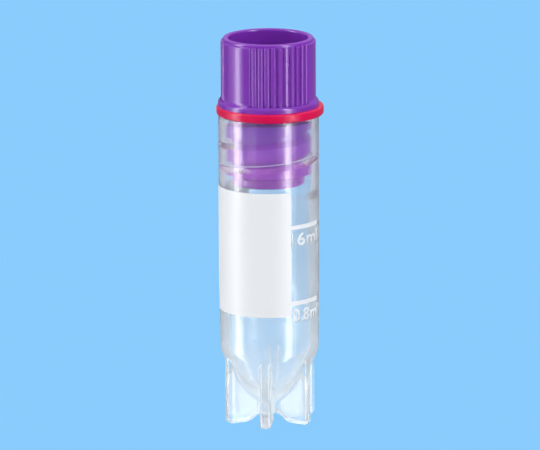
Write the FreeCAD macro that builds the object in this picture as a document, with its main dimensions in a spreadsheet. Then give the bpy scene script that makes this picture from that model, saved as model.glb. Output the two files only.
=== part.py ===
import FreeCAD, Part
import math
import os
from types import SimpleNamespace

import Sketcher

# Screw-cap cryovial for about 2 ml, in millimetres.
# +Z runs up the tube, and the origin is on the tube's axis in the plane that the feet stand on.
# Three mouldings: a clear tube on six star feet, a rubber seal ring and a ribbed screw cap.

document = FreeCAD.newDocument("Cryovial")

driving = [
    # Tube: wall, mouth and bore
    ("rimHeight", 38.98, "height of the tube's rim above the feet"),
    ("bodyRadius", 6.22, "outer radius of the straight part of the tube"),
    ("bandHeight", 19.0, "height where the straight outside ends and the draft begins"),
    ("footDraft", 0.12, "loss of radius between there and the shoulder"),
    ("tubeWall", 1.03, "wall below the thread"),
    ("threadWall", 0.82, "wall around the thread"),
    ("plugRoom", 0.6, "how far the wider, threaded mouth reaches below the plug"),
    ("mouthStep", 1.2, "height of the slope from the mouth to the bore"),
    ("mouthRound", 2.0, "rounding of both ends of that slope"),
    ("rimRound", 0.25, "rounding of the rim"),
    # Tube: the bottom, two cones with rounded meetings
    ("shoulderHeight", 9.04, "height where the wall turns into the upper cone"),
    ("shoulderRound", 2.5, "rounding there"),
    ("upperAngle", 25.0, "angle of the upper cone from the axis, degrees"),
    ("lowerAngle", 45.0, "angle of the lower cone from the axis, degrees"),
    ("kneeRound", 6.8, "rounding where the two cones meet, outside"),
    ("apexHeight", 0.72, "height of the lower cone's apex"),
    ("tipRadius", 0.35, "radius of the flat at the tip"),
    ("tipRound", 0.5, "rounding around it"),
    # Tube: star feet
    ("finCount", 6, "number of feet"),
    ("finTurn", 24.2, "turn of the first foot from +X, degrees"),
    ("finInset", 0.16, "step from the shoulder's wall in to the feet"),
    ("finThickness", 1.42, "thickness of a foot"),
    ("finEdge", 0.5, "rounding of a foot's long edges"),
    ("finCorner", 0.68, "rounding of a foot's outer lower corner"),
    ("finRoot", 0.3, "rounding where the feet meet the cones and each other"),
    ("solePlace", 3.02, "radius where the flat sole ends"),
    ("archPlace", 1.62, "radius where the arch levels out"),
    ("archHeight", 0.9, "height of the arch under the tip"),
    ("archRound", 1.1, "rounding of both bends of the arch"),
    # Thread
    ("lead", 2.95, "rise in one turn, right-handed"),
    ("threadPlace", 4.28, "depth of the groove's upper edge below the rim on the +X side"),
    ("threadDepth", 0.65, "depth of the groove in the plug"),
    ("grooveMouth", 1.4, "width of the groove at the plug's surface"),
    ("grooveSteep", 0.12, "drop of the groove's steep upper flank"),
    ("grooveFloor", 0.62, "width of the groove at its floor"),
    ("ridgeDrop", 0.48, "how far the tube's ridge starts below the groove's upper edge"),
    ("ridgeFoot", 0.88, "width of the ridge where it leaves the wall"),
    ("ridgeSteep", 0.1, "drop of the ridge's steep upper flank"),
    ("ridgeCrest", 0.08, "width of the ridge's crest"),
    ("ridgeTurns", 1.12, "turns of the ridge"),
    ("grooveTurns", 3.72, "turns of the groove, from free space below the plug up to the neck"),
    ("grooveStart", 2.0, "turns from its lower end up to threadPlace"),
    ("threadPlay", 0.1, "gap between the plug and the mouth"),
    ("crestPlay", 0.13, "gap between the ridge's crest and the groove's floor"),
    # Seal ring
    ("ringThickness", 1.1, "thickness of the ring"),
    ("ringOverhang", 0.43, "how far the ring stands out beyond the tube"),
    ("ringPlay", 0.25, "gap between the ring and the neck of the plug"),
    ("ringShift", 0.2, "how far the loose ring has slipped towards +X"),
    ("ringOuterRound", 0.25, "rounding of the ring's outer edges"),
    ("ringInnerRound", 0.15, "rounding of the ring's inner edges"),
    # Cap: head
    ("headHeight", 8.55, "height of the head above the ring"),
    ("flangeOverhang", 0.04, "how far the flange stands out beyond the tube"),
    ("flangeEdge", 0.5, "height of the flange's straight edge"),
    ("flareHeight", 0.5, "height of the flare from the flange to the grip"),
    ("flareWidth", 0.385, "width of the flare"),
    ("flareRound", 0.45, "rounding of the flare"),
    ("ribGroups", 3, "groups of ribs around the grip, which is smooth between them"),
    ("ribGrooves", 10, "number of grooves in a group"),
    ("ribPitch", 8.18, "angle from one groove to the next, degrees"),
    ("ribTurn", 7.8, "turn of the first groove from +X, degrees"),
    ("ribDepth", 0.25, "depth of the grooves between the ribs"),
    ("ribLand", 0.1, "width of the level top of a rib"),
    ("ribValley", 0.05, "width of the floor of a groove"),
    ("ribDrop", 0.25, "how far the grooves run down into the flare"),
    ("ribEnd", 0.36, "smooth band between the ribs and the top"),
    ("ribRound", 0.2, "rounding of the ribs' upper ends"),
    ("topWall", 0.695, "wall around the open recess, inside the grooves"),
    ("topRound", 0.25, "rounding of the top's edges"),
    ("recessFloor", 1.05, "thickness of the web under the recess"),
    # Cap: plug
    ("plugLength", 8.73, "length of the plug below the rim"),
    ("plugWall", 1.15, "wall of the hollow plug, inside the groove"),
    ("plugFloor", 1.1, "thickness of the plug's floor"),
    ("plugRound", 0.35, "rounding of the plug's lower edge"),
    ("pilotLength", 1.08, "straight pilot at the plug's lower end"),
    ("pilotRelief", 0.2, "step from the groove's floor in to the pilot"),
    ("pilotSlope", 0.42, "height of the slope from the pilot to the thread"),
    ("neckDrop", 0.3, "how far the plain neck reaches below the rim"),
    ("neckRelief", 0.05, "step from the groove's floor in to the neck"),
    ("neckSlope", 0.35, "height of the slope from the neck to the thread"),
]

sheet = document.addObject("Spreadsheet::Sheet", "Sizes")
for row, (alias, value, note) in enumerate(driving, start=1):
    sheet.set("A%d" % row, note)
    sheet.set("B%d" % row, str(value))
    sheet.setAlias("B%d" % row, alias)
document.recompute()


class Size:
    """A number together with the expression that binds it to the sheet."""

    def __init__(self, value, text):
        self.value = value
        self.text = text

    @staticmethod
    def of(other):
        return other if isinstance(other, Size) else Size(other, str(other))

    def __add__(self, other):
        other = Size.of(other)
        return Size(self.value + other.value, "(%s + %s)" % (self.text, other.text))

    def __sub__(self, other):
        other = Size.of(other)
        return Size(self.value - other.value, "(%s - %s)" % (self.text, other.text))

    def __mul__(self, other):
        other = Size.of(other)
        return Size(self.value * other.value, "(%s * %s)" % (self.text, other.text))

    def __truediv__(self, other):
        other = Size.of(other)
        return Size(self.value / other.value, "(%s / %s)" % (self.text, other.text))

    def __neg__(self):
        return Size(-self.value, "(0 - %s)" % self.text)


def sine(angle):
    return Size(math.sin(math.radians(angle.value)), "sin(%s)" % angle.text)


def cotangent(angle):
    return Size(1 / math.tan(math.radians(angle.value)), "(1 / tan(%s))" % angle.text)


nothing = Size(0.0, "0")
halfTurn = Size(180.0, "180")
wholeTurn = 360.0
smallest = 1e-3

# How a sketch counts its own axes and origin.
acrossAxis = -1
uprightAxis = -2
originPoint = (-1, 1)

s = SimpleNamespace(**{alias: Size(float(sheet.get(alias)), "Sizes." + alias) for alias, _, _ in driving})

# Sizes that follow from the driving ones, so that the pieces go on fitting each other.
footRadius = s.bodyRadius - s.footDraft
mouthRadius = s.bodyRadius - s.threadWall
boreRadius = s.bodyRadius - s.tubeWall
crestRadius = mouthRadius - s.threadPlay
rootRadius = crestRadius - s.threadDepth
neckRadius = rootRadius - s.neckRelief
pilotRadius = rootRadius - s.pilotRelief
plugHole = rootRadius - s.plugWall
ringBottom = s.rimHeight
ringTop = ringBottom + s.ringThickness
flangeRadius = s.bodyRadius + s.flangeOverhang
gripRadius = flangeRadius - s.flareWidth
bandRadius = gripRadius - s.ribDepth
recessRadius = bandRadius - s.topWall
capTop = ringTop + s.headHeight
plugBottom = s.rimHeight - s.plugLength
grooveHeight = s.rimHeight - s.threadPlace


def originFeature(body, role):
    return next(item for item in body.Origin.OriginFeatures if item.Role == role)


def bind(item, path, size):
    item.setExpression(path, size.text)


def cornerArc(before, corner, after, radius):
    """Start, middle and end of the arc that rounds a corner."""
    back = (before - corner).normalize()
    ahead = (after - corner).normalize()
    half = back.getAngle(ahead) / 2
    centre = corner + (back + ahead).normalize() * (radius / math.sin(half))
    reach = radius / math.tan(half)
    middle = centre + (corner - centre).normalize() * radius
    return corner + back * reach, middle, corner + ahead * reach


def sideArc(start, end, radius):
    """Arc between two points with its middle on the left of the way there; a negative radius: right."""
    chord = end - start
    left = FreeCAD.Vector(-chord.y, chord.x, 0).normalize()
    side = 1 if radius > 0 else -1
    sag = abs(radius) - math.sqrt(radius * radius - chord.Length**2 / 4)
    return start, (start + end) * 0.5 + left * side * sag, end


def endNear(sketch, index, point):
    """Which end of a sketch's arc or line, 1 or 2, lies on the point."""
    return min((1, 2), key=lambda end: (sketch.getPoint(index, end) - point).Length)


def pinPoint(sketch, index, end, x, y):
    """Fix a point at x, y from the sketch's origin, with both distances bound to the sheet."""
    for kind, size, axis in (("DistanceX", x, uprightAxis), ("DistanceY", y, acrossAxis)):
        if size is nothing:
            sketch.addConstraint(Sketcher.Constraint("PointOnObject", index, end, axis))
            continue
        place = sketch.addConstraint(Sketcher.Constraint(kind, *originPoint, index, end, size.value))
        bind(sketch, "Constraints[%d]" % place, size)


def pinRadius(sketch, index, radius):
    place = sketch.addConstraint(Sketcher.Constraint("Radius", index, radius.value))
    bind(sketch, "Constraints[%d]" % place, radius)


def outline(body, name, corners, plane="XZ_Plane", turn=None, lift=None, arcs=None):
    """A closed sketch through the corners.

    A corner is (x, y) or, rounded, (x, y, radius). arcs gives the edges that are arcs: the number
    of the corner where the edge starts, its radius, and 1 or -1 for the side it bulges to."""
    sketch = body.newObject("Sketcher::SketchObject", name)
    sketch.AttachmentSupport = [(originFeature(body, plane), "")]
    sketch.MapMode = "FlatFace"
    upright = plane == "XZ_Plane"
    if turn is not None:
        axis = FreeCAD.Vector(0, 1, 0) if upright else FreeCAD.Vector(0, 0, 1)
        sketch.AttachmentOffset = FreeCAD.Placement(FreeCAD.Vector(), FreeCAD.Rotation(axis, turn.value))
        bind(sketch, "AttachmentOffset.Rotation.Angle", turn)
    if lift is not None:
        bind(sketch, "AttachmentOffset.Base.z", lift)

    count = len(corners)
    points = [FreeCAD.Vector(corner[0].value, corner[1].value, 0) for corner in corners]
    rounds = {}
    for number, corner in enumerate(corners):
        if len(corner) == 3:
            after = points[(number + 1) % count]
            rounds[number] = cornerArc(points[number - 1], points[number], after, corner[2].value)

    edges = []
    for number in range(count):
        following = (number + 1) % count
        start = rounds[number][2] if number in rounds else points[number]
        end = rounds[following][0] if following in rounds else points[following]
        if arcs and number in arcs:
            radius, side = arcs[number]
            shape = Part.Arc(*sideArc(start, end, side * radius.value))
        else:
            shape = Part.LineSegment(start, end)
        index = sketch.addGeometry(shape)
        edges.append((index, endNear(sketch, index, start), endNear(sketch, index, end)))
        if arcs and number in arcs:
            pinRadius(sketch, index, arcs[number][0])

    for number, corner in enumerate(corners):
        before, _, beforeEnd = edges[number - 1]
        after, afterEnd, _ = edges[number]
        if number not in rounds:
            sketch.addConstraint(Sketcher.Constraint("Coincident", before, beforeEnd, after, afterEnd))
            pinPoint(sketch, after, afterEnd, corner[0], corner[1])
            continue
        start, middle, end = rounds[number]
        arc = sketch.addGeometry(Part.Arc(start, middle, end))
        first, last = endNear(sketch, arc, start), endNear(sketch, arc, end)
        sketch.addConstraint(Sketcher.Constraint("Tangent", before, beforeEnd, arc, first))
        sketch.addConstraint(Sketcher.Constraint("Tangent", arc, last, after, afterEnd))
        pinRadius(sketch, arc, corner[2])
        mark = sketch.addGeometry(Part.Point(points[number]), True)
        pinPoint(sketch, mark, 1, corner[0], corner[1])
        sketch.addConstraint(Sketcher.Constraint("PointOnObject", mark, 1, before))
        sketch.addConstraint(Sketcher.Constraint("PointOnObject", mark, 1, after))
    return sketch


def spin(body, kind, name, sketch):
    """Revolution or Groove of a sketch, once round the sketch's own upright axis."""
    feature = body.newObject("PartDesign::" + kind, name)
    feature.Profile = sketch
    feature.ReferenceAxis = (sketch, ["V_Axis"])
    feature.Angle = wholeTurn
    return feature


def windThread(body, kind, name, sketch, turns):
    """Right-handed helix of a sketch, up its own upright axis."""
    feature = body.newObject("PartDesign::" + kind, name)
    feature.Profile = sketch
    feature.ReferenceAxis = (sketch, ["V_Axis"])
    feature.Mode = "pitch-turns-angle"
    feature.Pitch = s.lead.value
    feature.Turns = turns.value
    bind(feature, "Pitch", s.lead)
    bind(feature, "Turns", turns)
    feature.LeftHanded = False
    feature.Reversed = False
    return feature


def repeatRound(body, name, count, reach=None):
    """Polar pattern about Z, once round or over the angle given, of the features named later."""
    pattern = body.newObject("PartDesign::PolarPattern", name)
    pattern.Axis = (originFeature(body, "Z_Axis"), [""])
    pattern.Angle = wholeTurn
    if reach is not None:
        bind(pattern, "Angle", reach)
    bind(pattern, "Occurrences", count)
    return pattern


def bottomCorners(inset, round, tip):
    """The rounded two-cone bottom, from the tip up to the shoulder, set in from the outside."""
    lowerApex = s.apexHeight + inset / sine(s.lowerAngle)
    upperApex = s.shoulderHeight - footRadius * cotangent(s.upperAngle) + inset / sine(s.upperAngle)
    lowerSlope = cotangent(s.lowerAngle)
    upperSlope = cotangent(s.upperAngle)
    kneeRadius = (lowerApex - upperApex) / (upperSlope - lowerSlope)
    tipHeight = lowerApex + s.tipRadius * lowerSlope
    wallRadius = footRadius - inset
    return [
        (nothing, tipHeight),
        (s.tipRadius, tipHeight, tip),
        (kneeRadius, lowerApex + kneeRadius * lowerSlope, round),
        (wallRadius, upperApex + wallRadius * upperSlope, s.shoulderRound),
    ]


def makeTube():
    body = document.addObject("PartDesign::Body", "Tube")
    body.Label = "tube"

    # One star foot, then all of them. They run in to the axis, and the bore is cut after them.
    finRadius = footRadius - s.finInset
    finTop = s.shoulderHeight + s.finInset
    sole = outline(
        body,
        "FootOutline",
        [
            (nothing, s.archHeight),
            (s.archPlace, s.archHeight, s.archRound),
            (s.solePlace, nothing, s.archRound),
            (finRadius, nothing, s.finCorner),
            (finRadius, finTop),
            (nothing, finTop),
        ],
        turn=s.finTurn,
    )
    foot = body.newObject("PartDesign::Pad", "Foot")
    foot.Profile = sole
    foot.SideType = "Symmetric"
    bind(foot, "Length", s.finThickness)
    document.recompute()

    rounded = body.newObject("PartDesign::Fillet", "FootEdges")
    rounded.Base = (foot, longEdges(foot.Shape, finTop.value))
    bind(rounded, "Radius", s.finEdge)
    document.recompute()

    feet = repeatRound(body, "Feet", s.finCount)
    feet.TransformMode = "Whole shape"
    body.Tip = feet
    document.recompute()

    outside = outline(
        body,
        "OutsideOutline",
        bottomCorners(nothing, s.kneeRound, s.tipRound)
        + [
            (s.bodyRadius, s.bandHeight),
            (s.bodyRadius, s.rimHeight, s.rimRound),
            (nothing, s.rimHeight),
        ],
    )
    spin(body, "Revolution", "Outside", outside)

    mouthBottom = plugBottom - s.plugRoom
    inside = outline(
        body,
        "InsideOutline",
        bottomCorners(s.tubeWall, s.kneeRound - s.tubeWall, s.tipRound)
        + [
            (boreRadius, mouthBottom - s.mouthStep, s.mouthRound),
            (mouthRadius, mouthBottom, s.mouthRound),
            (mouthRadius, s.rimHeight),
            (nothing, s.rimHeight),
        ],
    )
    bore = spin(body, "Groove", "Bore", inside)
    document.recompute()

    roots = body.newObject("PartDesign::Fillet", "FootRoots")
    roots.Base = (bore, rootEdges(bore.Shape))
    bind(roots, "Radius", s.finRoot)
    document.recompute()

    # The ridge of the thread stands inward from the mouth and lies in the plug's groove.
    ridgeTip = rootRadius + s.crestPlay
    overlap = s.threadPlay
    upper = grooveHeight - s.lead / 2 - s.ridgeDrop
    lower = upper - s.ridgeFoot
    crestTop = upper - s.ridgeSteep
    ridge = outline(
        body,
        "RidgeOutline",
        [
            (-ridgeTip, crestTop - s.ridgeCrest),
            (-mouthRadius, lower),
            (-mouthRadius - overlap, lower),
            (-mouthRadius - overlap, upper),
            (-mouthRadius, upper),
            (-ridgeTip, crestTop),
        ],
    )
    windThread(body, "AdditiveHelix", "Ridge", ridge, s.ridgeTurns)
    return body


def longEdges(shape, top):
    """The edges around a foot's two flat sides, without those that end up inside the tube."""
    turn = math.radians(s.finTurn.value)
    outward = FreeCAD.Vector(math.cos(turn), math.sin(turn), 0)
    across = FreeCAD.Vector(-math.sin(turn), math.cos(turn), 0)
    half = s.finThickness.value / 2
    names = []
    for number, edge in enumerate(shape.Edges, start=1):
        middle = edge.CenterOfMass
        onSide = abs(abs(middle.dot(across)) - half) < smallest
        inside = middle.dot(outward) < smallest or edge.BoundBox.ZMin > top - smallest
        if onSide and not inside:
            names.append("Edge%d" % number)
    return names


def rootEdges(shape):
    """The edges where the flat sides of the feet meet the rounded bottom, and where they meet each other."""
    meeting = s.finThickness / (sine(halfTurn / s.finCount) * 2)
    names = []
    for number, edge in enumerate(shape.Edges, start=1):
        kinds = {type(face.Surface) for face in shape.ancestorsOfType(edge, Part.Face)}
        box = edge.BoundBox
        middle = edge.CenterOfMass
        onBottom = box.ZMax < s.shoulderHeight.value and box.ZMin > s.archHeight.value
        toCone = onBottom and Part.Plane in kinds and kinds & {Part.Cone, Part.Toroid}
        upright = max(box.XLength, box.YLength) < smallest
        offMeeting = abs(math.hypot(middle.x, middle.y) - meeting.value)
        toFoot = upright and kinds == {Part.Plane} and offMeeting < smallest
        if toCone or toFoot:
            names.append("Edge%d" % number)
    return names


def makeRing():
    body = document.addObject("PartDesign::Body", "SealRing")
    body.Label = "seal_ring"
    innerRadius = neckRadius + s.ringPlay
    outerRadius = s.bodyRadius + s.ringOverhang
    section = outline(
        body,
        "RingSection",
        [
            (innerRadius, ringBottom, s.ringInnerRound),
            (outerRadius, ringBottom, s.ringOuterRound),
            (outerRadius, ringTop, s.ringOuterRound),
            (innerRadius, ringTop, s.ringInnerRound),
        ],
    )
    spin(body, "Revolution", "Ring", section)
    bind(body, "Placement.Base.x", s.ringShift)
    return body


def volumeAfterCut(body, before):
    """The body's volume, once its newest feature is seen to take some of it away."""
    document.recompute()
    volume = body.Shape.Volume
    if volume >= before:
        raise RuntimeError("the last cut in %s takes nothing away" % body.Label)
    return volume


def makeCap():
    body = document.addObject("PartDesign::Body", "ScrewCap")
    body.Label = "screw_cap"

    ribTop = capTop - s.ribEnd
    flangeTop = ringTop + s.flangeEdge
    flareTop = flangeTop + s.flareHeight
    neckBottom = s.rimHeight - s.neckDrop
    pilotTop = plugBottom + s.pilotLength
    recessBottom = ringTop + s.recessFloor
    section = outline(
        body,
        "CapSection",
        [
            (nothing, plugBottom),
            (pilotRadius, plugBottom, s.plugRound),
            (pilotRadius, pilotTop),
            (crestRadius, pilotTop + s.pilotSlope),
            (crestRadius, neckBottom - s.neckSlope),
            (neckRadius, neckBottom),
            (neckRadius, ringTop),
            (flangeRadius, ringTop),
            (flangeRadius, flangeTop, s.flareRound),
            (gripRadius, flareTop, s.flareRound),
            (gripRadius, ribTop, s.ribRound),
            (bandRadius, ribTop),
            (bandRadius, capTop, s.topRound),
            (recessRadius, capTop, s.topRound),
            (recessRadius, recessBottom),
            (plugHole, recessBottom, s.topRound),
            (plugHole, plugBottom + s.plugFloor, s.plugRound),
            (nothing, plugBottom + s.plugFloor),
        ],
    )
    spin(body, "Revolution", "Cap", section)
    document.recompute()
    volume = body.Shape.Volume

    # One groove, run out through the smooth band above the ribs, then its group; and so each group.
    grooveLow = flareTop - s.ribDrop
    clear = s.ribDepth
    half = gripRadius * sine(s.ribPitch / 2) - s.ribLand / 2
    floorHalf = s.ribValley / 2
    reach = half - floorHalf
    ribArc = (reach * reach + s.ribDepth * s.ribDepth) / (s.ribDepth * 2)
    for group in range(int(s.ribGroups.value)):
        groove = outline(
            body,
            "GrooveOutline%d" % group,
            [
                (bandRadius, -floorHalf),
                (gripRadius, -half),
                (gripRadius + clear, -half),
                (gripRadius + clear, half),
                (gripRadius, half),
                (bandRadius, floorHalf),
            ],
            plane="XY_Plane",
            turn=s.ribTurn + halfTurn * 2 / s.ribGroups * group,
            lift=grooveLow,
            arcs={0: (ribArc, 1), 4: (ribArc, 1)},
        )
        cut = body.newObject("PartDesign::Pocket", "RibGroove%d" % group)
        cut.Profile = groove
        cut.Reversed = True
        bind(cut, "Length", capTop - grooveLow)
        volume = volumeAfterCut(body, volume)
        ribs = repeatRound(body, "Ribs%d" % group, s.ribGrooves, s.ribPitch * (s.ribGrooves - 1))
        ribs.Originals = [cut]
        body.Tip = ribs
        volume = volumeAfterCut(body, volume)

    # The groove of the thread starts below the plug and ends around the neck, both in free space.
    upper = grooveHeight - s.lead * s.grooveStart
    lower = upper - s.grooveMouth
    floorTop = upper - s.grooveSteep
    floorBottom = floorTop - s.grooveFloor
    beyond = s.threadPlay
    upperSlant = s.grooveSteep / s.threadDepth
    lowerSlant = (floorBottom - lower) / s.threadDepth
    thread = outline(
        body,
        "ThreadOutline",
        [
            (rootRadius, floorBottom),
            (crestRadius + beyond, lower - lowerSlant * beyond),
            (crestRadius + beyond, upper + upperSlant * beyond),
            (rootRadius, floorTop),
        ],
    )
    windThread(body, "SubtractiveHelix", "ThreadGroove", thread, s.grooveTurns)
    volumeAfterCut(body, volume)
    return body


def checkDocument():
    for item in document.Objects:
        if "Invalid" in item.State or "Error" in item.State:
            raise RuntimeError("%s failed: %s" % (item.Name, item.State))


def writeNode(body):
    shape = body.Shape
    if shape.isNull() or not shape.isValid() or len(shape.Solids) != 1:
        raise RuntimeError("%s is not one valid solid" % body.Label)
    shape.exportStep("parts/%s.step" % body.Label)
    print("%s: %.1f mm3, %s" % (body.Label, shape.Volume, shape.BoundBox))


bodies = [makeTube(), makeRing(), makeCap()]
document.recompute()
checkDocument()
os.makedirs("parts", exist_ok=True)
for body in bodies:
    writeNode(body)
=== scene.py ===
import math

import bmesh
import bpy
from mathutils import Matrix, Vector


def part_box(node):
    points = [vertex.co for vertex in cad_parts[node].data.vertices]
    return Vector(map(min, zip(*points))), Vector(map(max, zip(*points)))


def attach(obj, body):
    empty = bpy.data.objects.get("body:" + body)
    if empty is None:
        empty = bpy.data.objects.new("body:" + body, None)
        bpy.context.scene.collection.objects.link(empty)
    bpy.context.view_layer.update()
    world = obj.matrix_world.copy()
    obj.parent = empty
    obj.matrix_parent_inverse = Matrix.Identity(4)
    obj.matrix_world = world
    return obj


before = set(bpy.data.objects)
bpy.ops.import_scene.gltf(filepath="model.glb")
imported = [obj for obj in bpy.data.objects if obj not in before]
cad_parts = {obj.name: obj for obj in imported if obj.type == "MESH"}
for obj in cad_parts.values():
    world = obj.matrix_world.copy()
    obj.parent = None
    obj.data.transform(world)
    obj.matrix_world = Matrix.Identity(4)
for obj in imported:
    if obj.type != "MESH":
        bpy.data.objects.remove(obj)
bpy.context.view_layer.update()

# A 2 ml class cryovial: clear tube, red seal ring, violet screw cap, white print.
# Sizes are in millimetres and turned to metres by mm. Angles round the tube are in degrees,
# counted from the front (-Y) towards +X.

mm = 0.001
grainDetail = 2.0           # octaves of noise in the bump of a skin
cloudDetail = 3.0           # octaves in an uneven colour or haze


def toLinear(hexColour):
    # sRGB hex to the linear values that the shaders work in
    channels = [int(hexColour[i:i + 2], 16) / 255 for i in (1, 3, 5)]
    return [c / 12.92 if c <= 0.04045 else ((c + 0.055) / 1.055) ** 2.4 for c in channels] + [1.0]


def addNode(tree, kind, settings=None, sockets=None):
    # settings are the node's own properties; a socket takes a value, or another node's output
    node = tree.nodes.new(kind)
    for name, value in (settings or {}).items():
        setattr(node, name, value)
    for name, value in (sockets or {}).items():
        if isinstance(value, bpy.types.NodeSocket):
            tree.links.new(value, node.inputs[name])
        else:
            node.inputs[name].default_value = value
    return node


def startMaterial(name):
    material = bpy.data.materials.new(name)
    material.use_nodes = True
    material.node_tree.nodes.clear()
    return material, material.node_tree


def perMetre(size):
    # noise scale whose features are about this many millimetres across
    return 1 / (size * mm)


def unevenSkin(tree, place, size, depth):
    # normal of a surface with shallow bumps, their size and depth in millimetres
    grain = addNode(tree, "ShaderNodeTexNoise", sockets={
        "Vector": place, "Scale": perMetre(size), "Detail": grainDetail})
    bump = addNode(tree, "ShaderNodeBump", sockets={
        "Height": grain.outputs["Fac"], "Distance": depth * mm})
    return bump.outputs["Normal"]


def addObject(name, data):
    item = bpy.data.objects.new(name, data)
    bpy.context.scene.collection.objects.link(item)
    return item


def meshObject(name, bm, material):
    mesh = bpy.data.meshes.new(name)
    bm.to_mesh(mesh)
    bm.free()
    mesh.materials.append(material)
    return addObject(name, mesh)


clearPlastic = {
    "tint": "#FBFCFD",      # natural polypropylene
    "haze": 0.16,           # share of the light that is scattered at each surface
    "hazeTint": "#D4DADD",
    "edgeHaze": 0.26,       # how much more where the wall is seen along its length
    "footHaze": 0.11,       # how much more in the thick cones and feet, which cooled slowly
    "footTop": 9.5,         # mm, where the thick plastic starts
    "footLow": 5.0,         # mm, where it is full
    "mouthHaze": 0.5,       # share of the haze that is left in the thinner wall of the thread
    "mouthLow": 27.0,       # mm, where the wall starts to thin
    "mouthHigh": 30.0,      # mm, where it is thin
    "cloudy": 0.35,         # how uneven the haze is
    "cloudSize": 2.6,       # mm
    "cloudThin": 0.3,       # noise value taken for the thinnest haze
    "cloudThick": 0.7,      # and for the thickest
    "ior": 1.49,
    "roughness": 0.12,      # moulded against polished steel, handled since
    "footRoughness": 0.16,  # the mould is less polished at the feet
    "flowSize": 2.4,        # mm, faint flow lines from the gate
    "flowDepth": 0.010,     # mm
    "lampTint": "#F2F4F6",  # what is left of a lamp's light after each surface
}

paintedThreadHighlight = {
    # painted highlight: a pale diffuse line painted along the upper edge of the tube's thread, in place
    # of the light that this edge catches
    "lead": 2.95,           # mm a turn
    "height": 34.22,        # mm, on the +X side
    "half": 0.07,           # mm, half its width
    "inside": 5.5,          # mm, it lies on the inner wall, within this radius
    "strength": 0.85,
    "colour": "#F4F0F6",
}


def helixMask(tree, place, line):
    # 1 on a thin band that winds up the inner wall, 0 elsewhere
    split = addNode(tree, "ShaderNodeSeparateXYZ", sockets={"Vector": place})
    made = {axis: split.outputs[axis] for axis in "XYZ"}
    steps = [
        # each step's name, its operation, and the numbers or earlier steps that it works on
        ("angle", "ARCTAN2", "Y", "X"),
        ("wound", "MULTIPLY", "angle", line["lead"] * mm / (2 * math.pi)),
        ("risen", "SUBTRACT", "Z", "wound"),
        ("above", "SUBTRACT", "risen", line["height"] * mm),
        ("onLine", "COMPARE", "above", 0.0, line["half"] * mm),
        ("xSquared", "MULTIPLY", "X", "X"),
        ("ySquared", "MULTIPLY", "Y", "Y"),
        ("radiusSquared", "ADD", "xSquared", "ySquared"),
        ("radius", "SQRT", "radiusSquared"),
        ("inside", "LESS_THAN", "radius", line["inside"] * mm),
        ("mask", "MULTIPLY", "onLine", "inside"),
    ]
    for name, operation, *values in steps:
        sockets = {number: made.get(value, value) for number, value in enumerate(values)}
        made[name] = addNode(tree, "ShaderNodeMath", {"operation": operation}, sockets).outputs["Value"]
    return made["mask"]


def hazeShare(tree, place, height, low, look):
    # cloudy, weaker in the thread's wall, stronger in the feet and where a wall is seen along its length
    cloud = addNode(tree, "ShaderNodeTexNoise", sockets={
        "Vector": place, "Scale": perMetre(look["cloudSize"]), "Detail": cloudDetail})
    haze = addNode(tree, "ShaderNodeMapRange", sockets={
        "Value": cloud.outputs["Fac"], "From Min": look["cloudThin"], "From Max": look["cloudThick"],
        "To Min": look["haze"] * (1 - look["cloudy"] / 2),
        "To Max": look["haze"] * (1 + look["cloudy"] / 2)})
    thinner = addNode(tree, "ShaderNodeMapRange", sockets={
        "Value": height, "From Min": look["mouthLow"] * mm, "From Max": look["mouthHigh"] * mm,
        "To Min": 1.0, "To Max": look["mouthHaze"]})
    bodyHaze = addNode(tree, "ShaderNodeMath", {"operation": "MULTIPLY"}, {
        0: haze.outputs["Result"], 1: thinner.outputs["Result"]})
    wallHaze = addNode(tree, "ShaderNodeMath", {"operation": "MULTIPLY_ADD"}, {
        0: low, 1: look["footHaze"], 2: bodyHaze.outputs["Value"]})
    facing = addNode(tree, "ShaderNodeLayerWeight").outputs["Facing"]
    grazing = addNode(tree, "ShaderNodeMath", {"operation": "MULTIPLY"}, {0: facing, 1: facing})
    share = addNode(tree, "ShaderNodeMath", {"operation": "MULTIPLY_ADD", "use_clamp": True}, {
        0: grazing.outputs["Value"], 1: look["edgeHaze"], 2: wallHaze.outputs["Value"]})
    return share.outputs["Value"]


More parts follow.
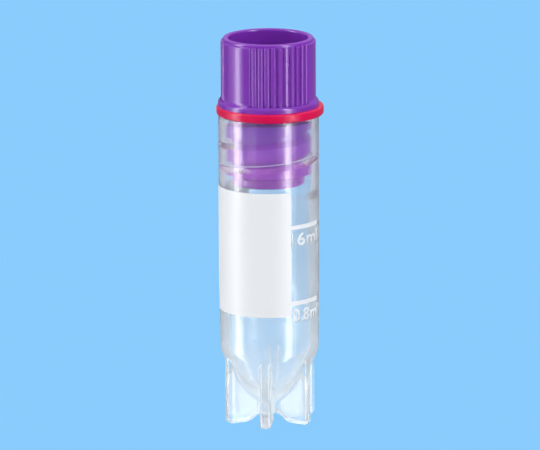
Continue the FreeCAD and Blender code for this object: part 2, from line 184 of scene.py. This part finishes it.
def makeClearPlastic(look, line):
    # Natural polypropylene, injection moulded: gloss outside and in, milky where light comes from behind
    material, tree = startMaterial("Moulded clear polypropylene")
    place = addNode(tree, "ShaderNodeTexCoord").outputs["Object"]
    skin = unevenSkin(tree, place, look["flowSize"], look["flowDepth"])
    height = addNode(tree, "ShaderNodeSeparateXYZ", sockets={"Vector": place}).outputs["Z"]
    # 0 in the straight wall, 1 in the feet
    towardsFeet = addNode(tree, "ShaderNodeMapRange", sockets={
        "Value": height, "From Min": look["footTop"] * mm, "From Max": look["footLow"] * mm})
    low = towardsFeet.outputs["Result"]
    roughness = addNode(tree, "ShaderNodeMath", {"operation": "MULTIPLY_ADD"}, {
        0: low, 1: look["footRoughness"] - look["roughness"], 2: look["roughness"]})
    clear = addNode(tree, "ShaderNodeBsdfPrincipled", sockets={
        "Base Color": toLinear(look["tint"]), "Roughness": roughness.outputs["Value"], "IOR": look["ior"],
        "Transmission Weight": 1.0, "Normal": skin})
    milk = addNode(tree, "ShaderNodeBsdfTranslucent", sockets={
        "Color": toLinear(look["hazeTint"]), "Normal": skin})
    plastic = addNode(tree, "ShaderNodeMixShader", sockets={
        "Fac": hazeShare(tree, place, height, low, look),
        1: clear.outputs["BSDF"], 2: milk.outputs["BSDF"]})
    # painted highlight: a pale diffuse band mixed into the wall along the thread's edge, in place of the
    # light that it catches
    highlightPaint = addNode(tree, "ShaderNodeBsdfDiffuse", sockets={"Color": toLinear(line["colour"])})
    highlightShare = addNode(tree, "ShaderNodeMath", {"operation": "MULTIPLY"}, {
        0: helixMask(tree, place, line), 1: line["strength"]})
    withPaintedHighlight = addNode(tree, "ShaderNodeMixShader", sockets={
        "Fac": highlightShare.outputs["Value"], 1: plastic.outputs["Shader"], 2: highlightPaint.outputs["BSDF"]})
    # lamps reach what is inside, as they do through a thin clear wall
    through = addNode(tree, "ShaderNodeBsdfTransparent", sockets={"Color": toLinear(look["lampTint"])})
    path = addNode(tree, "ShaderNodeLightPath")
    mix = addNode(tree, "ShaderNodeMixShader", sockets={
        "Fac": path.outputs["Is Shadow Ray"], 1: withPaintedHighlight.outputs["Shader"], 2: through.outputs["BSDF"]})
    addNode(tree, "ShaderNodeOutputMaterial", sockets={"Surface": mix.outputs["Shader"]})
    return material


violetPlastic = {
    "colour": "#7F31B1",
    "deep": "#762FA8",      # the pigment is a little uneven
    "flowSize": 1.6,        # mm, the size of its clouds
    "paintedGlow": "#A02CAC",      # painted light: the hollow plug's end is painted lighter and redder, in place of light that passes its thin wall
    "paintedGlowStart": 40.0,      # mm, under the flange
    "paintedGlowFull": 31.0,        # mm, near the plug's end
    "ior": 1.49,
    "roughness": 0.17,
    "specular": 0.4,        # a waxy skin, less than bare resin
    "grainSize": 0.12,      # mm, moulded skin, coarser than the real one so that it shows
    "grainDepth": 0.0025,   # mm
    "glow": 0.12,           # light that travels inside the coloured resin
    "glowReach": 0.5,       # mm
}


def makeVioletPlastic(look):
    # Pigmented polypropylene, injection moulded: waxy gloss with a soft skin
    material, tree = startMaterial("Moulded violet polypropylene")
    place = addNode(tree, "ShaderNodeTexCoord").outputs["Object"]
    flow = addNode(tree, "ShaderNodeTexNoise", sockets={
        "Vector": place, "Scale": perMetre(look["flowSize"]), "Detail": cloudDetail})
    colour = addNode(tree, "ShaderNodeMix", {"data_type": "RGBA"}, {
        "Factor": flow.outputs["Fac"], "A": toLinear(look["deep"]), "B": toLinear(look["colour"])})
    height = addNode(tree, "ShaderNodeSeparateXYZ", sockets={"Vector": place}).outputs["Z"]
    # painted light: the plug is painted lighter and redder towards its end, in place of light that passes
    # its thin wall
    paintedGlowShare = addNode(tree, "ShaderNodeMapRange", sockets={
        "Value": height, "From Min": look["paintedGlowStart"] * mm, "From Max": look["paintedGlowFull"] * mm})
    colourAndPaintedGlow = addNode(tree, "ShaderNodeMix", {"data_type": "RGBA"}, {
        "Factor": paintedGlowShare.outputs["Result"], "A": colour.outputs["Result"], "B": toLinear(look["paintedGlow"])})
    plastic = addNode(tree, "ShaderNodeBsdfPrincipled", sockets={
        "Base Color": colourAndPaintedGlow.outputs["Result"], "Roughness": look["roughness"], "IOR": look["ior"],
        "Specular IOR Level": look["specular"], "Subsurface Weight": look["glow"],
        "Subsurface Scale": look["glowReach"] * mm,
        "Normal": unevenSkin(tree, place, look["grainSize"], look["grainDepth"])})
    addNode(tree, "ShaderNodeOutputMaterial", sockets={"Surface": plastic.outputs["BSDF"]})
    return material


redSilicone = {
    "colour": "#D4004D",
    "ior": 1.43,
    "roughness": 0.26,
    "specular": 0.32,       # dusted with talc, duller than bare silicone
    "grainSize": 0.2,       # mm, coarser than the real one so that it shows
    "grainDepth": 0.004,    # mm
    "glow": 0.25,           # light that travels inside the rubber
    "glowReach": 0.6,       # mm
}


def makeRedSilicone(look):
    # Silicone rubber, compression moulded: saturated colour, soft sheen, slightly uneven skin
    material, tree = startMaterial("Moulded red silicone")
    place = addNode(tree, "ShaderNodeTexCoord").outputs["Object"]
    rubber = addNode(tree, "ShaderNodeBsdfPrincipled", sockets={
        "Base Color": toLinear(look["colour"]), "Roughness": look["roughness"], "IOR": look["ior"],
        "Specular IOR Level": look["specular"], "Subsurface Weight": look["glow"],
        "Subsurface Scale": look["glowReach"] * mm,
        "Normal": unevenSkin(tree, place, look["grainSize"], look["grainDepth"])})
    addNode(tree, "ShaderNodeOutputMaterial", sockets={"Surface": rubber.outputs["BSDF"]})
    return material


whiteInk = {
    "colour": "#E9ECF0",
    "ior": 1.48,
    "roughness": 0.42,
    "grainSize": 0.15,      # mm, tooth for a pen, coarser than the real one so that it shows
    "grainDepth": 0.003,    # mm
}

inkLayer = {
    "gap": 0.008,           # mm over the wall
    "thickness": 0.022,     # mm
    "lift": 1.2,            # thicknesses, how far the scale is lifted to pass over the writing field
    "step": 2.0,            # degrees between the facets round the tube
}

writingField = {"from": -154.0, "to": 25.6, "bottom": 14.4, "top": 30.1}    # degrees, and mm

scaleMarks = [
    # each group of figures with its left and right end in degrees; heights in mm
    {"height": 25.66, "groups": [("1.", 26.4, 32.4), ("6", 33.6, 45.2), ("ml", 48.0, 70.2)]},
    {"height": 16.05, "groups": [("0.", 27.2, 41.0), ("8", 42.4, 52.0), ("ml", 54.6, 73.0)]},
]

scaleStyle = {
    "from": 16.8,           # degrees, where the line starts
    "to": 70.1,             # degrees
    "line": 0.52,           # mm
    "letter": 1.62,         # mm, height of the figures
    "drop": 0.72,           # mm from the middle of the line down to the figures
    "bold": 0.016,          # how far the strokes grow, in the font's own units
    "smooth": 5,            # straight pieces to each curve of a figure's outline
    "weld": 0.002,          # corners nearer than this are joined, in the same units
    "snap": 0.03,           # degrees, corners this near to a facet's edge are used for it
}

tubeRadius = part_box("tube")[1].x    # metres, of the straight wall
tubeOutside = {
    "bandHeight": 19.0,         # mm, the wall is straight above this
    "shoulderHeight": 9.04,     # mm, where the feet start
    "draft": 0.12,              # mm, how much the radius loses between the two
}


def makeWhiteInk(look):
    # Screen-printed ink: opaque, satin, with a fine tooth
    material, tree = startMaterial("Screen printed white ink")
    place = addNode(tree, "ShaderNodeTexCoord").outputs["Object"]
    ink = addNode(tree, "ShaderNodeBsdfPrincipled", sockets={
        "Base Color": toLinear(look["colour"]), "Roughness": look["roughness"], "IOR": look["ior"],
        "Normal": unevenSkin(tree, place, look["grainSize"], look["grainDepth"])})
    addNode(tree, "ShaderNodeOutputMaterial", sockets={"Surface": ink.outputs["BSDF"]})
    return material


def wallRadius(height):
    # outer radius of the tube at a height, both in metres
    band, shoulder = tubeOutside["bandHeight"] * mm, tubeOutside["shoulderHeight"] * mm
    share = min(max((band - height) / (band - shoulder), 0), 1)
    return tubeRadius - tubeOutside["draft"] * mm * share


def onWall(degrees, height, proud):
    radius = wallRadius(height) + proud
    angle = math.radians(degrees)
    return Vector((radius * math.sin(angle), -radius * math.cos(angle), height))


def finishPrint(bm, name, material, proud):
    # a flat print, laid out in degrees and metres of height, becomes a closed layer on the tube's wall
    top = bmesh.ops.extrude_face_region(bm, geom=list(bm.faces))["geom"]
    raised = {v for v in top if isinstance(v, bmesh.types.BMVert)}
    for vert in bm.verts:
        level = proud + (inkLayer["thickness"] * mm if vert in raised else 0)
        vert.co = onWall(vert.co.x, vert.co.y, level)
    bmesh.ops.recalc_face_normals(bm, faces=bm.faces)
    # corners and faces in the same order each run
    for parts, spot in ((bm.verts, lambda v: v.co), (bm.faces, lambda f: f.calc_center_median())):
        for index, part in enumerate(sorted(parts, key=lambda each: tuple(spot(each)))):
            part.index = index
        parts.sort()
    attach(meshObject(name, bm, material), "tube")


def printPatch(name, material, start, end, bottom, top, proud):
    bm = bmesh.new()
    columns = max(2, round((end - start) / inkLayer["step"]))
    levels = [bottom * mm, top * mm]
    band = tubeOutside["bandHeight"] * mm
    if levels[0] < band < levels[1]:
        levels.insert(1, band)
    grid = [[bm.verts.new((start + (end - start) * i / columns, level, 0)) for level in levels]
            for i in range(columns + 1)]
    for left, right in zip(grid, grid[1:]):
        for row in range(len(levels) - 1):
            bm.faces.new((left[row], right[row], right[row + 1], left[row + 1]))
    finishPrint(bm, name, material, proud)


def printText(name, material, text, start, end, top, proud):
    curve = bpy.data.curves.new(name, "FONT")
    curve.body = text
    curve.offset = scaleStyle["bold"]
    curve.resolution_u = scaleStyle["smooth"]
    flat = bpy.data.objects.new(name, curve)
    mesh = bpy.data.meshes.new_from_object(flat)
    bpy.data.objects.remove(flat)
    bpy.data.curves.remove(curve)
    bm = bmesh.new()
    bm.from_mesh(mesh)
    bpy.data.meshes.remove(mesh)
    bmesh.ops.remove_doubles(bm, verts=bm.verts, dist=scaleStyle["weld"])
    # from the font's own units to degrees across and metres up
    xs, ys = [v.co.x for v in bm.verts], [v.co.y for v in bm.verts]
    across = (end - start) / (max(xs) - min(xs))
    upward = scaleStyle["letter"] * mm / (max(ys) - min(ys))
    for vert in bm.verts:
        vert.co = (start + (vert.co.x - min(xs)) * across, top * mm + (vert.co.y - max(ys)) * upward, 0)
    # cut into strips, so that the figures bend round the wall
    cut = start + inkLayer["step"] / 2
    while cut < end:
        everything = bm.verts[:] + bm.edges[:] + bm.faces[:]
        bmesh.ops.bisect_plane(bm, geom=everything, plane_co=(cut, 0, 0), plane_no=(1, 0, 0),
                               dist=scaleStyle["snap"])
        cut += inkLayer["step"]
    finishPrint(bm, name, material, proud)


studio = {
    "background": "#86CCFF",
    "backgroundShare": 0.95,    # how much of the floor is plain background, free of light and shadow
    "floorPaint": "#9EA1A5",    # what the floor throws back on the object
    "floorReach": 3.0,          # metres
    "skyColour": "#FFFFFF",     # the soft light from all sides
    "ambient": 0.18,            # its strength at the horizon
    "overhead": 1.75,           # and straight above
    "roomColour": "#F4F8FF",    # what gloss shows beside the lamps
    "reflected": 0.24,          # its strength at the horizon
    "reflectedAbove": 1.0,      # and straight above
    "innerColour": "#E2EDF8",   # what the clear wall shows of the room inside itself
    "inner": 0.8,               # its strength
    "lampColour": "#FFFDFB",
    "lampDistance": 1.2,        # metres from the object's axis
}

softboxes = [
    # azimuth from the camera's side and width, both in degrees, and radiance; heights in metres
    {"name": "Left softbox", "azimuth": -80.0, "spread": 14.0, "low": -1.6, "high": 0.3, "strength": 7.8},
    {"name": "Left edge", "azimuth": -81.0, "spread": 32.0, "low": -0.75, "high": 0.3, "strength": 2.8},
    {"name": "Left fill", "azimuth": -42.0, "spread": 24.0, "low": -0.75, "high": 0.4, "strength": 0.7},
    {"name": "Left rim", "azimuth": -104.0, "spread": 16.0, "low": -0.75, "high": 0.3, "strength": 1.0},
    {"name": "Right softbox", "azimuth": 47.0, "spread": 14.0, "low": -1.6, "high": 0.4, "strength": 7.8},
    {"name": "Right edge", "azimuth": 49.0, "spread": 34.0, "low": -0.75, "high": 0.4, "strength": 1.9},
    {"name": "Right fill", "azimuth": 26.0, "spread": 12.0, "low": -0.75, "high": 0.4, "strength": 0.7},
    {"name": "Back light", "azimuth": 180.0, "spread": 70.0, "low": 0.4, "high": 1.6, "strength": 2.3,
     "hidden": True},
    {"name": "Left glint", "azimuth": -78.0, "spread": 16.0, "low": 0.3, "high": 1.4, "strength": 14.0,
     "glint": True},
    {"name": "Right glint", "azimuth": 47.0, "spread": 16.0, "low": 0.4, "high": 1.6, "strength": 14.0,
     "glint": True},
]

cameraPlace = {
    "distance": 800.0,      # mm
    "elevation": 12.93,     # degrees
    "lens": 429.6,          # mm on the standard 36 mm sensor
    "roll": -0.29,          # degrees
    "height": 24.78,        # mm, height of the point it looks at
    "aside": 0.12,          # mm, how far that point is to the right of the axis
    "nearest": 10.0,        # mm, what it shows starts here
    "farthest": 10000.0,    # mm, and ends here
}


def seenPlainly(tree):
    # 1 for what is seen straight or through clear plastic, 0 for light that was scattered or reflected
    path = addNode(tree, "ShaderNodeLightPath")
    seen = addNode(tree, "ShaderNodeMath", {"operation": "MAXIMUM"}, {
        0: path.outputs["Is Camera Ray"], 1: path.outputs["Is Transmission Ray"]})
    sharp = addNode(tree, "ShaderNodeMath", {"operation": "SUBTRACT", "use_clamp": True}, {
        0: seen.outputs["Value"], 1: path.outputs["Is Diffuse Ray"]})
    straight = addNode(tree, "ShaderNodeMath", {"operation": "SUBTRACT", "use_clamp": True}, {
        0: sharp.outputs["Value"], 1: path.outputs["Glossy Depth"]})
    return straight.outputs["Value"]


def makeFloor():
    # Painted board: it takes light, and is seen as plain background
    material, tree = startMaterial("Painted floor")
    paint = addNode(tree, "ShaderNodeBsdfDiffuse", sockets={"Color": toLinear(studio["floorPaint"])})
    shine = addNode(tree, "ShaderNodeEmission", sockets={"Color": toLinear(studio["background"])})
    share = addNode(tree, "ShaderNodeMath", {"operation": "MULTIPLY"}, {
        0: seenPlainly(tree), 1: studio["backgroundShare"]})
    mix = addNode(tree, "ShaderNodeMixShader", sockets={
        "Fac": share.outputs["Value"], 1: paint.outputs["BSDF"], 2: shine.outputs["Emission"]})
    # reflections pass it, and show the lamps as if the object stood on a narrow stand
    away = addNode(tree, "ShaderNodeBsdfTransparent")
    path = addNode(tree, "ShaderNodeLightPath")
    reflected = addNode(tree, "ShaderNodeMath", {"operation": "MINIMUM"}, {
        0: path.outputs["Glossy Depth"], 1: 1.0})
    passed = addNode(tree, "ShaderNodeMixShader", sockets={
        "Fac": reflected.outputs["Value"], 1: mix.outputs["Shader"], 2: away.outputs["BSDF"]})
    addNode(tree, "ShaderNodeOutputMaterial", sockets={"Surface": passed.outputs["Shader"]})
    bm = bmesh.new()
    bmesh.ops.create_grid(bm, x_segments=1, y_segments=1, size=studio["floorReach"])
    meshObject("Floor", bm, material)


def makeWorld():
    world = bpy.data.worlds.new("Studio")
    bpy.context.scene.world = world
    world.use_nodes = True
    tree = world.node_tree
    tree.nodes.clear()
    upward = addNode(tree, "ShaderNodeSeparateXYZ", sockets={
        "Vector": addNode(tree, "ShaderNodeTexCoord").outputs["Generated"]}).outputs["Z"]
    # soft light on the object
    level = addNode(tree, "ShaderNodeMapRange", sockets={
        "Value": upward, "To Min": studio["ambient"], "To Max": studio["overhead"]})
    soft = addNode(tree, "ShaderNodeBackground", sockets={
        "Color": toLinear(studio["skyColour"]), "Strength": level.outputs["Result"]})
    # what gloss shows of the room
    shown = addNode(tree, "ShaderNodeMapRange", sockets={
        "Value": upward, "To Min": studio["reflected"], "To Max": studio["reflectedAbove"]})
    gloss = addNode(tree, "ShaderNodeBackground", sockets={
        "Color": toLinear(studio["roomColour"]), "Strength": shown.outputs["Result"]})
    path = addNode(tree, "ShaderNodeLightPath")
    mirrored = addNode(tree, "ShaderNodeMath", {"operation": "SUBTRACT", "use_clamp": True}, {
        0: path.outputs["Is Glossy Ray"], 1: path.outputs["Is Diffuse Ray"]})
    light = addNode(tree, "ShaderNodeMixShader", sockets={
        "Fac": mirrored.outputs["Value"], 1: soft.outputs["Background"], 2: gloss.outputs["Background"]})
    # what leaves the clear wall after being mirrored inside it
    inner = addNode(tree, "ShaderNodeBackground", sockets={
        "Color": toLinear(studio["innerColour"]), "Strength": studio["inner"]})
    inside = addNode(tree, "ShaderNodeMath", {"operation": "SUBTRACT", "use_clamp": True}, {
        0: path.outputs["Is Transmission Ray"], 1: path.outputs["Is Diffuse Ray"]})
    wall = addNode(tree, "ShaderNodeMixShader", sockets={
        "Fac": inside.outputs["Value"], 1: light.outputs["Shader"], 2: inner.outputs["Background"]})
    back = addNode(tree, "ShaderNodeBackground", sockets={"Color": toLinear(studio["background"])})
    mix = addNode(tree, "ShaderNodeMixShader", sockets={
        "Fac": seenPlainly(tree), 1: wall.outputs["Shader"], 2: back.outputs["Background"]})
    addNode(tree, "ShaderNodeOutputWorld", sockets={"Surface": mix.outputs["Shader"]})


def makeSoftbox(box):
    distance = studio["lampDistance"]
    lamp = bpy.data.lights.new(box["name"], "AREA")
    lamp.shape = "RECTANGLE"
    lamp.size = 2 * distance * math.tan(math.radians(box["spread"] / 2))
    lamp.size_y = box["high"] - box["low"]
    # an area lamp of this many watts has the wanted radiance: power = radiance x area x pi
    lamp.energy = box["strength"] * lamp.size * lamp.size_y * math.pi
    lamp.color = toLinear(studio["lampColour"])[:3]
    holder = addObject(box["name"], lamp)
    angle = math.radians(box["azimuth"])
    middle = (box["high"] + box["low"]) / 2
    holder.location = (distance * math.sin(angle), -distance * math.cos(angle), middle)
    aim = holder.location.copy()
    if box.get("hidden"):
        # above and behind: turned down to the object, and left out of what shows through the wall
        holder.visible_camera = holder.visible_transmission = holder.visible_glossy = False
    else:
        aim.z = 0
    if box.get("glint"):
        # the upper half of a tall box, kept to the highlights on round edges
        holder.visible_diffuse = holder.visible_transmission = False
    holder.rotation_euler = aim.to_track_quat("Z", "Y").to_euler()


def makeCamera():
    camera = bpy.data.cameras.new("Camera")
    camera.lens = cameraPlace["lens"]
    camera.clip_start = cameraPlace["nearest"] * mm
    camera.clip_end = cameraPlace["farthest"] * mm
    elevation = math.radians(cameraPlace["elevation"])
    back = Vector((0, -math.cos(elevation), math.sin(elevation)))
    target = Vector((cameraPlace["aside"] * mm, 0, cameraPlace["height"] * mm))
    turn = (-back).to_track_quat("-Z", "Y").to_matrix().to_4x4()
    roll = Matrix.Rotation(math.radians(cameraPlace["roll"]), 4, "Z")
    holder = addObject("Camera", camera)
    holder.matrix_world = Matrix.Translation(target + back * cameraPlace["distance"] * mm) @ turn @ roll
    bpy.context.scene.camera = holder


def dress(node, material):
    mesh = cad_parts[node].data
    mesh.materials.clear()
    mesh.materials.append(material)


print("camera and studio")
makeCamera()
makeFloor()
makeWorld()
for box in softboxes:
    makeSoftbox(box)

print("materials on the moulded pieces")
dress("tube", makeClearPlastic(clearPlastic, paintedThreadHighlight))
dress("screw_cap", makeVioletPlastic(violetPlastic))
dress("seal_ring", makeRedSilicone(redSilicone))

print("print on the tube")
ink = makeWhiteInk(whiteInk)
gap = inkLayer["gap"] * mm
over = gap + inkLayer["thickness"] * mm * inkLayer["lift"]
half = scaleStyle["line"] / 2
printPatch("writing_field", ink, writingField["from"], writingField["to"],
           writingField["bottom"], writingField["top"], gap)
for number, mark in enumerate(scaleMarks, start=1):
    printPatch("scale_line_%d" % number, ink, scaleStyle["from"], scaleStyle["to"],
               mark["height"] - half, mark["height"] + half, over)
    for letter, (text, start, end) in zip("abc", mark["groups"]):
        printText("scale_figures_%d%s" % (number, letter), ink, text, start, end,
                  mark["height"] - scaleStyle["drop"], over)

bpy.context.scene.view_settings.view_transform = "Standard"

print("done")
